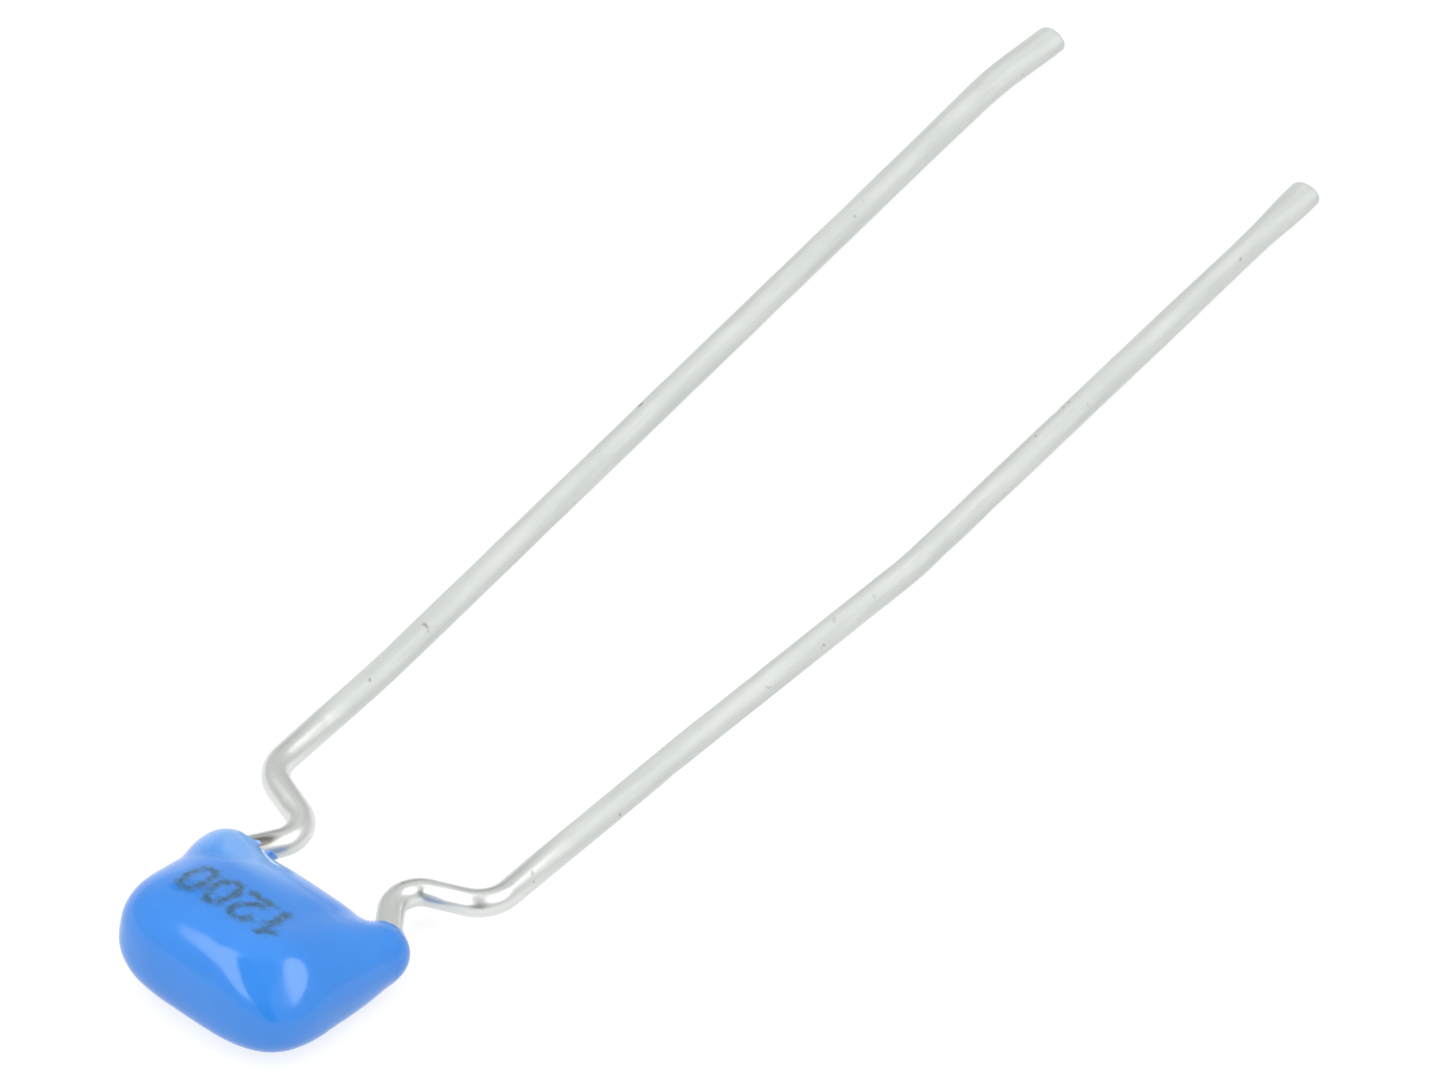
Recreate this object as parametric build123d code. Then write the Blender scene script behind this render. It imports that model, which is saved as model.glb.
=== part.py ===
from build123d import *
from math import cos, pi, radians, sin, tan
import os

# Radial-lead multilayer ceramic capacitor with a dipped epoxy coat, lying loose on a flat surface.
# It is drawn first in the plane of its two wires: X across the body, +Y along the wires to their
# cut ends, Z square to that plane. At the end it is tipped so that the coat's belly and both wire
# ends touch the surface at Z = 0. All lengths are in millimetres.

# Wires: tinned copper, kinked outwards to the board pitch
wire_radius = 0.25
pitch = 5.08
pitch_shortfall = 0.085           # each kink stops this far inside half the pitch, before the splay
kink_inner = (0.88, 1.90)         # innermost corner of the kink, across and along
kink_outer = (pitch / 2 - pitch_shortfall, 2.54)
kink_slant = 34.0                 # degrees, how far the run out of the coat leans inwards
inner_bend = 0.51                 # bend radii on the wire's centre line
outer_bend = 0.68
entry_bend = 0.50
bow_radius = 40.0                 # the long runs only bow a little
snip_bend = 8.0
# Free runs after the kink, across and along, hand-splayed and not quite alike
left_run = ((2.506, 5.57), (3.652, 24.0), (3.544, 25.67))
right_run = ((2.585, 7.70), (2.835, 13.52), (2.348, 25.43))
# A cutter leaves each end a little wider than the wire and a little thinner
tip_length = 1.0
tip_half_width = 0.285
tip_half_height = 0.215
tip_swell = 0.80                  # share of that length over which the end spreads
tip_end_share = 0.80              # size of the cut face against the widest section

# Sintered chip: ceramic block, electrodes, fired end caps
chip_length = 2.80
chip_width = 1.70
chip_height = 0.95
chip_edge = 0.06                  # tumbled edges, drawn as small flats
chip_shift = -0.25                # the chip sits back in the coat, away from the wires' exits
layers_per_side = 6
layer_pitch = 0.065
layer_thickness = 0.02
layer_side_margin = 0.20
layer_end_gap = 0.35
cap_thickness = 0.05
cap_band = 0.35                   # how far a cap wraps round the block's long faces

# Solder that holds each wire to its cap
wire_overlap = 0.86               # how far the wire runs back past the coat's middle
solder_gap = 0.04                 # film between cap and wire
solder_film = 0.03                # thickness over the wire's crown
solder_foot = 0.40                # how far the fillet spreads on the cap, each way
solder_hollow = (0.12, 0.31)      # a point on its concave face, from the cap and from the middle
solder_length = 1.30

# Epoxy coat
coat_half_width = 2.13
coat_half_length = 1.74
coat_half_height = 0.91
plan_power = 3.5                  # a squarish outline seen from above
rim_power = 2.6                   # a rounder one seen from the side
coat_taper = 0.45                 # thick at the dipped end, thin between the wires
coat_tilt = 12.6                  # degrees, chip and coat sit askew to the wires' plane
coat_centre = (0.0, -0.695, 0.02)
slice_points = 8                  # steps along each half of a slice
slice_angles = (20, 45, 70, 90, 110, 135, 160)
# A shoulder of epoxy climbs each wire and ends in a thin collar
shoulder_centre = (1.655, 0.45, -0.067)
shoulder_radius = 0.58
shoulder_blend = 0.45
collar_start = 0.20               # along the slanted run, from the entry bend's corner
collar_length = 0.32
collar_base = 0.39
collar_lip = 0.27


def mirrored(side, points):
    """Points given for the right-hand wire, moved to the asked side: -1 left, 1 right."""
    return [(side * across, along) for across, along in points]


# The wire lies against the solder film on the cap's end face
wire_across = chip_length / 2 + cap_thickness + solder_gap + wire_radius
wire_start = coat_centre[1] - wire_overlap
entry_along = kink_inner[1] - (wire_across - kink_inner[0]) / tan(radians(kink_slant))


def unit(start, end):
    """Direction from one point to the next."""
    return (Vector(*end) - Vector(*start)).normalized()


def wire(side, free_run):
    """One wire: swept round section as far as the cut end, then the end spread by the cutter."""
    kink = [(wire_across, wire_start), (wire_across, entry_along), kink_inner, kink_outer]
    points = mirrored(side, kink + list(free_run))
    end = Vector(*points[-1])
    heading = unit(points[-2], points[-1])
    neck = end - heading * tip_length
    route = points[:-1] + [(neck.X, neck.Y)]
    radii = [entry_bend, inner_bend, outer_bend, bow_radius, snip_bend]
    path = FilletPolyline(*route, radius=radii)
    section = Plane(origin=path @ 0, z_dir=path % 0) * Circle(wire_radius)
    shank = sweep(section, path=path)
    sections = []
    for share, wide, high in (
        (0.0, wire_radius, wire_radius),
        (tip_swell, tip_half_width, tip_half_height),
        (1.0, tip_end_share * tip_half_width, tip_end_share * tip_half_height),
    ):
        here = neck + heading * tip_length * share
        across = Vector(0, 0, 1).cross(heading)
        sections.append(Plane(origin=here, x_dir=across, z_dir=heading) * Ellipse(wide, high))
    return shank + loft(sections, ruled=True)


def chip_place(shape):
    """From the chip's own axes into the wires' plane."""
    return Pos(*coat_centre) * Rot(X=-coat_tilt) * shape


def ceramic_block():
    """The chip without its end caps."""
    return Pos(0, chip_shift, 0) * chamfer(Box(chip_length, chip_width, chip_height).edges(), chip_edge)


def electrode(side, height):
    """A flat metal layer that reaches one end face of the block and stops short of the other."""
    length = chip_length - layer_end_gap
    width = chip_width - 2 * layer_side_margin
    across = side * (chip_length - length) / 2
    return Pos(across, chip_shift, height) * Box(length, width, layer_thickness)


def termination(side, block):
    """A fired cap over one end: the end face and a band on the four long faces."""
    outside = Box(
        cap_band + cap_thickness,
        chip_width + 2 * cap_thickness,
        chip_height + 2 * cap_thickness,
    )
    outside = chamfer(outside.edges(), chip_edge + cap_thickness / 2)
    across = side * (chip_length / 2 + cap_thickness - (cap_band + cap_thickness) / 2)
    return Pos(across, chip_shift, 0) * outside - block


def solder(side, lead):
    """Concave fillets between the cap's end face and the wire, running along the wire."""
    crown = (solder_gap + wire_radius, wire_radius + solder_film)
    upper = ThreePointArc((0, solder_foot), solder_hollow, crown)
    outline = upper + mirror(upper, about=Plane.XZ)
    outline += Line((0, solder_foot), (0, -solder_foot)) + Line(crown, (crown[0], -crown[1]))
    section = make_face(outline)
    if side < 0:
        section = mirror(section, about=Plane.YZ)
    bar = extrude(section, solder_length / 2, both=True)
    face = chip_length / 2 + cap_thickness
    return Pos(side * face, coat_centre[1] + chip_shift, 0) * Rot(X=90) * bar - lead


def signed_power(value, power):
    """A power that keeps the sign, for rounded-square curves."""
    return abs(value) ** power if value >= 0 else -(abs(value) ** power)


def coat_slice(across):
    """Closed outline of the coat at one station across its width, an egg thick at the dipped end."""
    share = abs(across) / coat_half_width
    reach = (1 - share**plan_power) ** (1 / plan_power)
    lean = -coat_taper * coat_half_height * (1 - share**rim_power) ** (1 / rim_power)
    halves = []
    for heading in (1, -1):
        points = []
        for step in range(slice_points + 1):
            turn = pi * step / slice_points
            along = heading * sin(turn) ** (2 / rim_power) * reach
            plan = share**plan_power + abs(along) ** plan_power
            rise = max(0.0, 1 - plan ** (rim_power / plan_power)) ** (1 / rim_power)
            height = coat_half_height * rise * (1 - coat_taper * along)
            if heading * cos(turn) < 0:
                height = -height
            points.append((across, coat_half_length * along, height))
        slopes = [(0, heading * coat_half_length, lean), (0, -heading * coat_half_length, lean)]
        halves.append(Spline(*points, tangents=slopes))
    return Face(Wire(halves))


def shoulder(side):
    """The bulb of epoxy round one wire's entry."""
    return Pos(side * shoulder_centre[0], *shoulder_centre[1:]) * Rot(X=90) * Sphere(shoulder_radius)


def collar(side):
    """The thin ring that the shoulder draws up the wire, cut back to an edge."""
    lean = radians(kink_slant)
    heading = Vector(-side * sin(lean), cos(lean), 0)
    middle = Vector(side * wire_across, entry_along, 0) + heading * (collar_start + collar_length / 2)
    frame = Plane(origin=middle, x_dir=Vector(0, 0, 1), z_dir=heading)
    return frame.location * Cone(collar_base, collar_lip, collar_length)


def coat_body():
    """The whole outside of the coat as one solid, before it is hollowed for what it covers."""
    stations = [
        -coat_half_width * signed_power(cos(radians(angle)), 2 / plan_power) for angle in slice_angles
    ]
    ends = (Vertex(-coat_half_width, 0, 0), Vertex(coat_half_width, 0, 0))
    body = chip_place(loft([ends[0]] + [coat_slice(across) for across in stations] + [ends[1]]))
    for side in (1, -1):
        bulb = shoulder(side)
        joined = body + bulb
        body = fillet(new_edges(body, bulb, combined=joined), shoulder_blend)
    return body + collar(1) + collar(-1)


leads = {"left": wire(-1, left_run), "right": wire(1, right_run)}
block = ceramic_block()
pieces = {}
dielectric = block
for number in range(layers_per_side):
    for side, name in ((-1, "left"), (1, "right")):
        level = 2 * number + (0 if side < 0 else 1) - (2 * layers_per_side - 1) / 2
        layer = electrode(side, level * layer_pitch)
        dielectric -= layer
        pieces[f"electrode_{name}_{number + 1}"] = chip_place(layer)
pieces["dielectric"] = chip_place(dielectric)
for side, name in ((-1, "left"), (1, "right")):
    pieces[f"termination_{name}"] = chip_place(termination(side, block))
    pieces[f"solder_{name}"] = solder(side, leads[name])
    pieces[f"lead_{name}"] = leads[name]

coating = coat_body() - chip_place(block)
for side, name in ((-1, "left"), (1, "right")):
    for inner in (f"termination_{name}", f"solder_{name}", f"lead_{name}"):
        coating -= pieces[inner]
pieces["coating"] = coating


def lowest(shape, tilt):
    """Height of a shape's lowest point once the part is tipped by so many degrees."""
    return (Rot(X=-tilt) * shape).bounding_box().min.Z


# Tip the part, by halving the range of angles, until the coat's belly and the wires are level
tilt_low, tilt_high = 0.5, 4.0
wires = leads["left"] + leads["right"]
for _ in range(20):
    tilt = (tilt_low + tilt_high) / 2
    if lowest(wires, tilt) > lowest(coating, tilt):
        tilt_low = tilt
    else:
        tilt_high = tilt
everything = Compound(children=[Rot(X=-tilt) * shape for shape in pieces.values()])
box = everything.bounding_box()
ground = Pos(-box.center().X, -box.center().Y, -box.min.Z) * Rot(X=-tilt)

os.makedirs("parts", exist_ok=True)
for name, shape in pieces.items():
    export_step(ground * shape, f"parts/{name}.step")
print("rest tilt", round(tilt, 3), "degrees, moved by", ground.position, "box", box.size)
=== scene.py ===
# %% [markdown]
# A small dipped ceramic capacitor lies on a light table: a blue epoxy bead with two tinned wires.
# Inside the bead sits the working part, a sintered ceramic chip with metal layers, fired end caps
# and the solder that holds the wires. The solid model is the fixed frame of this scene. It gives
# every place and size, so the first step is to load it and to note its box before anything else.

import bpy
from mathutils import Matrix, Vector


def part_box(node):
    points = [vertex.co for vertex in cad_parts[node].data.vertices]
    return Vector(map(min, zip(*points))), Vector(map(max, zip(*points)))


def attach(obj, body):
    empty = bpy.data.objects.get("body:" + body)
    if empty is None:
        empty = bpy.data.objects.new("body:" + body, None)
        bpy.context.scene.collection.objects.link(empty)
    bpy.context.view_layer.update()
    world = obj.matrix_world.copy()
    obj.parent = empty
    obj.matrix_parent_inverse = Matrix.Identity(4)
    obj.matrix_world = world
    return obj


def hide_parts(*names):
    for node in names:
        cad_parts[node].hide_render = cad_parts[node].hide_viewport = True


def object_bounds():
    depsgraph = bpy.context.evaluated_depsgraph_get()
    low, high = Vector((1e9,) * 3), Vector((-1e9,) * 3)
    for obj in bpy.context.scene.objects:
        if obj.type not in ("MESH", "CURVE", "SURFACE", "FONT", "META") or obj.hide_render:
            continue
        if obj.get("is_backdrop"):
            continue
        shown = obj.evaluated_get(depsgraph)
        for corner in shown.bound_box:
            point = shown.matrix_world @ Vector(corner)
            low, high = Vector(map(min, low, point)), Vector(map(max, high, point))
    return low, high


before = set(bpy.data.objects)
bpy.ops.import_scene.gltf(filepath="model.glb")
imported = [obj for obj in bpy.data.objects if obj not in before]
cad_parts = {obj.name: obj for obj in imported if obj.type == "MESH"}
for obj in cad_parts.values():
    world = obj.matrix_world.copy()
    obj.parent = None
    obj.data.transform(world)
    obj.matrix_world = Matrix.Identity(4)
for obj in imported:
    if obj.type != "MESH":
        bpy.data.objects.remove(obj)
cad_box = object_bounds()
print("solid model's box in metres:", [round(v, 5) for corner in cad_box for v in corner])
print("solid pieces:", ", ".join(sorted(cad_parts)))

# %% [markdown]
# The part is drawn flat first, as a maker would draw it: X across the bead, Y along the wires, Z
# square to them, in millimetres. One step at the end tips it to the way it rests on the table and
# turns millimetres into metres. The tipping angle and the shift are the solid model's own, as its
# source prints them. Each finished piece is measured against its solid afterwards, to show that it
# lands where the solid lies.

# %% Drawing plane and resting place
import math
import bpy
import bmesh
import numpy as np
from mathutils import Matrix, Vector, noise

millimetre = 0.001
tipped_by = 1.389  # degrees
rest_tilt = Matrix.Rotation(math.radians(-tipped_by), 3, "X")
rest_shift = np.array([0.403977, -11.6127, 0.848043])


def at_rest(mesh):
    """Moves a mesh from the drawing in millimetres to its resting place in metres."""
    place = np.zeros(len(mesh.vertices) * 3)
    mesh.vertices.foreach_get("co", place)
    place = (place.reshape(-1, 3) @ np.array(rest_tilt).T + rest_shift) * millimetre
    mesh.vertices.foreach_set("co", place.ravel())
    mesh.update()
    return mesh


def new_piece(name, mesh, slot_name, *nodes):
    """A shown piece on the part's one body, standing for the solids it is named with."""
    piece = bpy.data.objects.new(name, mesh)
    bpy.context.scene.collection.objects.link(piece)
    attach(piece, "root")
    if nodes:
        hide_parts(*nodes)
    return piece


def compare(piece, node):
    """Prints how far a piece's box is from its solid's box, in millimetres."""
    low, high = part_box(node)
    corners = np.array([v.co for v in piece.data.vertices])
    below = (corners.min(0) - np.array(low)) / millimetre
    above = (corners.max(0) - np.array(high)) / millimetre
    print(piece.name, "low corner off by", np.round(below, 3), "high corner", np.round(above, 3))


def smooth_step(low, high, values):
    """0 below low, 1 above high, and an even rise between them."""
    share = np.clip((np.asarray(values, float) - low) / (high - low), 0, 1)
    return share * share * (3 - 2 * share)


print("tipped by", tipped_by, "degrees and moved by", rest_shift, "mm")

# %% [markdown]
# Each wire was bent over pins: out of the bead it leans inwards, kinks outwards and then runs
# straight to the cut end. A route of a few corners and bend radii describes it, as on a bending
# drawing. A bevelled curve would also make a tube, but rings placed one by one can be dented and
# spread at the tip, so the route is walked here in even steps.

# %% Walk a bent route
wire_radius = 0.25
step_length, bend_step = 0.05, 0.02  # between rings, and between points round a bend


def walk(corners, radii):
    """Evenly spaced points, directions and distances along a route with rounded corners."""
    corners = [Vector((*corner, 0)) for corner in corners]
    line = [corners[0]]
    for before, corner, after, radius in zip(corners, corners[1:], corners[2:], radii):
        into, out = (corner - before).normalized(), (after - corner).normalized()
        turn = into.angle(out)
        start = corner - into * radius * math.tan(turn / 2)
        hand = 1 if into.cross(out).z > 0 else -1
        centre = start + Vector((-into.y, into.x, 0)) * hand * radius
        parts = max(4, math.ceil(radius * turn / bend_step))
        for part in range(parts + 1):
            spin = Matrix.Rotation(hand * turn * part / parts, 3, "Z")
            line.append(centre + spin @ (start - centre))
    line.append(corners[-1])
    line = np.array(line)
    along = np.concatenate([[0], np.cumsum(np.linalg.norm(np.diff(line, axis=0), axis=1))])
    steps = np.linspace(0, along[-1], int(along[-1] / step_length))
    points = np.stack([np.interp(steps, along, line[:, axis]) for axis in range(3)], 1)
    headings = np.gradient(points, axis=0)
    return points, headings / np.linalg.norm(headings, axis=1)[:, None], steps


print("wire", 2 * wire_radius, "mm thick, walked in steps of", step_length, "mm")

# %% [markdown]
# The corners are the same as on the solid wires. The two wires are mirror images as far as the
# kink. After it each was splayed a little by hand, so the free runs differ.

# %% Routes of the two wires
# Where each wire stands inside the bead, and where along it the first bend's corner lies
wire_across, entry_along = 1.74, 0.625
# Soldered end, first bend, and the inner and outer corners of the kink
kink = [(wire_across, -1.555), (wire_across, entry_along), (0.88, 1.90), (2.455, 2.54)]
free_runs = {
    "left": [(2.506, 5.57), (3.652, 24.0), (3.544, 25.67)],
    "right": [(2.585, 7.70), (2.835, 13.52), (2.348, 25.43)],
}
# Bend radii at those corners: first bend, kink, the long run's bow, and a last bend near the tip
bends = [0.50, 0.51, 0.68, 40.0, 8.0]
hands = {"left": -1, "right": 1}
routes = {
    side: walk([(hand * x, y) for x, y in kink + free_runs[side]], bends)
    for side, hand in hands.items()
}
for side, (points, headings, steps) in routes.items():
    print(side, "wire", round(steps[-1], 2), "mm long in", len(steps), "rings")

# %% [markdown]
# A cut wire is not a perfect tube to its end. The cutter presses the tip flat and spreads it like a
# small spade, and one of the two wires was drawn a little thin before it. A tapered bevel could
# give that too. Here the half width and half height are worked out for every step, from the
# distance that is left to the cut, so each wire can have its own tip.

# %% Spread of the cut ends
# How much each tip widens or flattens, and between which distances from the cut that sets in
left_flare, left_spade, right_spade = (0.035, 0.2, 4.2), (0.012, 0.1, 1.0), (0.056, 0.35, 1.5)
tip_press = (0.035, 0.1, 1.1)
# The right wire is a little thin before its tip: its half width, and its waist's depth, distance
# from the cut and length
right_half_width = 0.242
waist_depth, waist_place, waist_length = 0.014, 2.3, 1.1


def at_tip(spread, left):
    """A spread that is full at the tip and nothing further back."""
    amount, near, far = spread
    return amount * (1 - smooth_step(near, far, left))


def bell(values, middle, length):
    """1 at the middle, fading to 0 over about that length on both sides."""
    return np.exp(-(((values - middle) / length) ** 2))


def tip_spread(side, steps):
    """Half width and half height of the wire at each step."""
    left = steps[-1] - steps
    if side == "left":
        wide = wire_radius + at_tip(left_flare, left) + at_tip(left_spade, left)
    else:
        waist = waist_depth * bell(left, waist_place, waist_length)
        wide = right_half_width - waist + at_tip(right_spade, left)
    return wide, wire_radius - at_tip(tip_press, left)


for side, (points, headings, steps) in routes.items():
    wide, high = tip_spread(side, steps)
    print(side, "tip", round(2 * wide[-1], 3), "mm wide and", round(2 * high[-1], 3), "mm high")

# %% [markdown]
# The tin is soft, so feed rollers and taping leave shallow dents in it. They are only a few
# thousandths of a millimetre deep, but they break up the long reflections, as on the real wire.
# Random numbers place them, from a fixed seed so that every run gives the same wire. Then rings of
# points are set round the route, each as wide, high and dented as its place says.

# %% Dents and rings
ring_points = 40
# Dents: how many, from where on, the side they face in radians with its spread, and their sizes
dent_seeds, dent_count, first_dent, dent_facing = {"left": 7, "right": 11}, 150, 3.5, (2.0, 0.8)
dent_lengths, dent_widths, dent_depths = (0.08, 0.45), (0.04, 0.11), (0.002, 0.009)


def skin_height(side, steps, turns):
    """How deep the tin is dented, in millimetres below zero, over steps and angles."""
    rng = np.random.default_rng(dent_seeds[side])
    height = np.zeros((len(steps), len(turns)))
    for _ in range(dent_count):
        place, facing = rng.uniform(first_dent, steps[-1]), rng.normal(*dent_facing)
        long, wide = rng.uniform(*dent_lengths), rng.uniform(*dent_widths)
        depth = rng.uniform(*dent_depths)
        away = (turns - facing + math.pi) % (2 * math.pi) - math.pi
        along = bell(steps, place, long)
        height -= depth * along[:, None] * bell(away * wire_radius, 0, wide)[None, :]
    return height


def rings_round(points, headings, turns, wide, high):
    """Rings of points round a line: wide is the reach in the wires' plane, high the reach in Z."""
    sideways = np.stack([-headings[:, 1], headings[:, 0], np.zeros(len(points))], 1)
    rings = points[:, None, :] + (wide * np.cos(turns))[..., None] * sideways[:, None, :]
    rings[:, :, 2] += high * np.sin(turns)
    return rings


def wire_rings(side):
    """All rings of one wire, and the distance along the wire of each."""
    points, headings, steps = routes[side]
    turns = np.linspace(0, 2 * math.pi, ring_points, endpoint=False)
    wide, high = tip_spread(side, steps)
    skin = skin_height(side, steps, turns)
    return rings_round(points, headings, turns, wide[:, None] + skin, high[:, None] + skin), steps


ring_gap = 2 * math.pi * wire_radius / ring_points
print("a ring has", ring_points, "points,", round(ring_gap, 3), "mm apart")

# %% [markdown]
# Rings become a mesh by joining each ring to the next with quads. A UV map is written at the same
# time: U goes round the wire and V is the distance along it in millimetres. The tin's finish uses
# it for streaks that follow the wire. Wires of this kind are sheared, so the end is closed by
# a few shrinking rings that leave a softly rounded, blunt tip.

# %% Rings into a mesh
# The rounded end: angles of its rings on a quarter turn, how square it stays, how far it stands
# out, and how much further along the map each ring lies
tip_angles, tip_bluntness, tip_length, tip_map_step = (20, 40, 58, 72, 82), 0.38, 0.10, 0.02


def ring_mesh(name, rings, steps):
    """A closed skin of quads over the rings, with a flat cap on both ends and the map."""
    count, around = rings.shape[:2]
    vertices = rings.reshape(-1, 3)
    faces, corners = [], []
    for row in range(count - 1):
        for col in range(around):
            after = (col + 1) % around
            here, there = row * around, (row + 1) * around
            faces.append((here + col, here + after, there + after, there + col))
            u0, u1 = col / around, (col + 1) / around
            v0, v1 = steps[row], steps[row + 1]
            corners += [(u0, v0), (u1, v0), (u1, v1), (u0, v1)]
    for row in (0, count - 1):
        cap = [row * around + col for col in range(around)]
        faces.append(tuple(cap if row else cap[::-1]))
        corners += [(0.0, steps[row])] * around
    mesh = bpy.data.meshes.new(name)
    mesh.from_pydata(vertices.tolist(), [], faces)
    lay = mesh.uv_layers.new(name="lay")
    lay.data.foreach_set("uv", np.array(corners, np.float32).ravel())
    mesh.shade_smooth()
    return mesh


def blunt_tip(rings, steps):
    """Extra rings that round the last ring over to a blunt end."""
    ahead = rings[-1].mean(0) - rings[-3].mean(0)
    ahead /= np.linalg.norm(ahead)
    middle = rings[-1].mean(0)
    extra, extra_steps = [], []
    for number, angle in enumerate(tip_angles, 1):
        turn = math.radians(angle)
        shrink, push = math.cos(turn) ** tip_bluntness, tip_length * math.sin(turn)
        extra.append(middle + (rings[-1] - middle) * shrink + ahead * push)
        extra_steps.append(steps[-1] + tip_map_step * number)
    return np.concatenate([rings, extra]), np.concatenate([steps, extra_steps])


print("each cut end is rounded over by", len(tip_angles), "rings within", tip_length, "mm")

# %% [markdown]
# The soldered end of each wire was dipped together with the chip. Where the wire leaves the resin,
# the tin gets a painted dark reflection, a colour that stands in for the dark it reflects. So the
# mesh only gets a number for it on every point, an attribute, which the finish mixes in later. Each
# dark patch has a middle, given as distance along the wire and angle round it, and fades out from
# there.

# %% Build both wires
# Painted dark reflection on each wire next to the bead: distance along the wire and angle round it
dark_reflection_middle = {"left": (2.70, 112), "right": (2.15, 290)}
dark_reflection_long, dark_reflection_wide = 0.32, 22


def keep_on(mesh, name, values):
    """Keeps one number for every point of a mesh, as an attribute of that name."""
    layer = mesh.attributes.new(name, "FLOAT", "POINT")
    layer.data.foreach_set("value", np.asarray(values, np.float32).ravel())


def dark_reflection_amount(side, steps):
    """1 in the middle of the painted dark reflection, 0 far from it, for every point of every ring.
    """
    place, facing = dark_reflection_middle[side]
    turns = np.arange(ring_points) * 360 / ring_points
    return bell(steps, place, dark_reflection_long)[:, None] * bell(turns, facing, dark_reflection_wide)[None, :]


wires = {}
for side in routes:
    rings, steps = wire_rings(side)
    # The last two rings make room for the rounded end
    rings, steps = blunt_tip(rings[:-2], steps[:-2])
    mesh = at_rest(ring_mesh("wire_" + side, rings, steps))
    # Painted dark reflection, kept as a number on every point
    keep_on(mesh, "dark_reflection", dark_reflection_amount(side, steps))
    wires[side] = new_piece("wire_" + side, mesh, "tinned_wire", "lead_" + side)
    compare(wires[side], "lead_" + side)

# %% [markdown]
# The bead is dipped epoxy. Surface tension rounds the chip's box into a pillow, thick at the
# dipped end and thin between the wires, and draws a shoulder and a thin collar up each wire. Such a
# form is easiest to say as one smooth field, a rule that tells how far any point is from the skin:
# negative inside, zero on it, positive outside. The pillow comes first. It sits askew to the wires'
# plane, its outline is a rounded square, and its top corners are softer than its rim.

# %% The pillow's field
bead_half, belly_half = np.array([2.105, 1.74, 0.979]), 0.883
bead_centre = np.array([-0.026, -0.774, 0.041])
bead_tilt, bead_roll, bead_yaw = 10.0, -1.24, 0.79
outline_power, rim_power, bead_taper = 3.331, 2.879, 0.2489
# How much narrower the top is at the left and right sides and at the dipped end, and how much
# rounder its corners are
top_left_narrows, top_right_narrows, top_end_narrows = 0.039, 0.158, 0.0775
top_left_softens, top_right_softens = 0.6865, -0.0138
# Between which places across the bead the left side's values give way to the right side's
side_change = (-0.4, 0.8)
# Limits that keep the field well behaved far from the skin
taper_limit, power_limits, least_slope = 1.2, (1.6, 6), 0.2

tilt, roll, yaw = (math.radians(v) for v in (bead_tilt, bead_roll, bead_yaw))
askew = np.array(
    Matrix.Rotation(yaw, 3, "Z") @ Matrix.Rotation(roll, 3, "Y") @ Matrix.Rotation(tilt, 3, "X")
)


def pillow_level(points):
    """1 on the pillow's skin, less inside."""
    local = (points - bead_centre) @ askew.T
    across, along = np.abs(local[:, 0]) / bead_half[0], local[:, 1] / bead_half[1]
    half_height = np.where(local[:, 2] > 0, bead_half[2], belly_half)
    taper = bead_taper * np.clip(along, -taper_limit, taper_limit)
    high = local[:, 2] / (half_height * (1 - taper))
    lift = np.clip(high, 0, 1) ** 2
    rightness = smooth_step(*side_change, local[:, 0])
    narrows = top_left_narrows + (top_right_narrows - top_left_narrows) * rightness
    softens = top_left_softens + (top_right_softens - top_left_softens) * rightness
    across = across * (1 + narrows * lift)
    forward = np.abs(along) * (1 + top_end_narrows * lift * (along < 0))
    power = np.clip(outline_power - softens * lift, *power_limits)
    outline = (across**power + forward**power) ** (1 / power)
    return (outline**rim_power + np.abs(high) ** rim_power) ** (1 / rim_power)


def slope(field, points, reach=1e-3):
    """Which way and how fast a field grows at each point."""
    parts = []
    for axis in range(3):
        nudge = np.zeros(3)
        nudge[axis] = reach
        parts.append((field(points + nudge) - field(points - nudge)) / (2 * reach))
    return np.stack(parts, 1)


def pillow_distance(points):
    """The level turned into millimetres, by how fast it grows at each point."""
    steep = np.linalg.norm(slope(pillow_level, points), axis=1)
    return (pillow_level(points) - 1) / np.maximum(steep, least_slope)


pillow_size = [*np.round(2 * bead_half[:2], 2), round(bead_half[2] + belly_half, 2)]
print("pillow", *pillow_size, "mm across, along and high")

# %% [markdown]
# The left shoulder is a ball and the right one a drawn-out drop, as the resin ran down from one
# wire more than from the other. Two fields can be melted together with a rounded valley, the way
# two drops of resin join. A drop is two balls of different size with a tight skin over both.

# %% Shoulders
left_shoulder, left_radius, left_melt = np.array([-1.657, 0.417, -0.053]), 0.554, 0.5024
drop_start, drop_end = np.array([1.063, -1.108, 0.29]), np.array([1.693, 0.496, -0.062])
drop_radii, drop_melt = (0.705, 0.507), 0.3914


def melted(a, b, reach):
    """The union of two fields with a valley of that reach between them."""
    gap = np.clip(0.5 + 0.5 * (b - a) / reach, 0, 1)
    return b * (1 - gap) + a * gap - reach * gap * (1 - gap)


def drop_distance(points):
    """Two balls of different size under one tight skin, as a cone that touches both."""
    way = drop_end - drop_start
    length, shrink = np.linalg.norm(way), drop_radii[0] - drop_radii[1]
    way = way / length
    slant = math.sqrt(1 - (shrink / length) ** 2)
    away = points - drop_start
    along = away @ way
    aside = np.linalg.norm(away - along[:, None] * way, axis=1)
    # Where the skin's own direction from a point meets the axis
    share = np.clip(along - aside * shrink / length / slant, 0, length)
    centre = drop_start + share[:, None] * way
    return np.linalg.norm(points - centre, axis=1) - (drop_radii[0] - share / length * shrink)


print("drop", round(float(np.linalg.norm(drop_end - drop_start)), 2), "mm long between its balls")

# %% [markdown]
# Where a wire leaves the bead, the resin climbs it a little and stops in a collar. The collar is a
# short sleeve in the field that thins out along the wire. Its end is ragged, because the resin wets
# the tin unevenly: a few waves round the wire give that edge. On the left the resin reaches further
# on the side that faces the other wire.

# %% Collars
wire_lean = math.radians(34)
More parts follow.
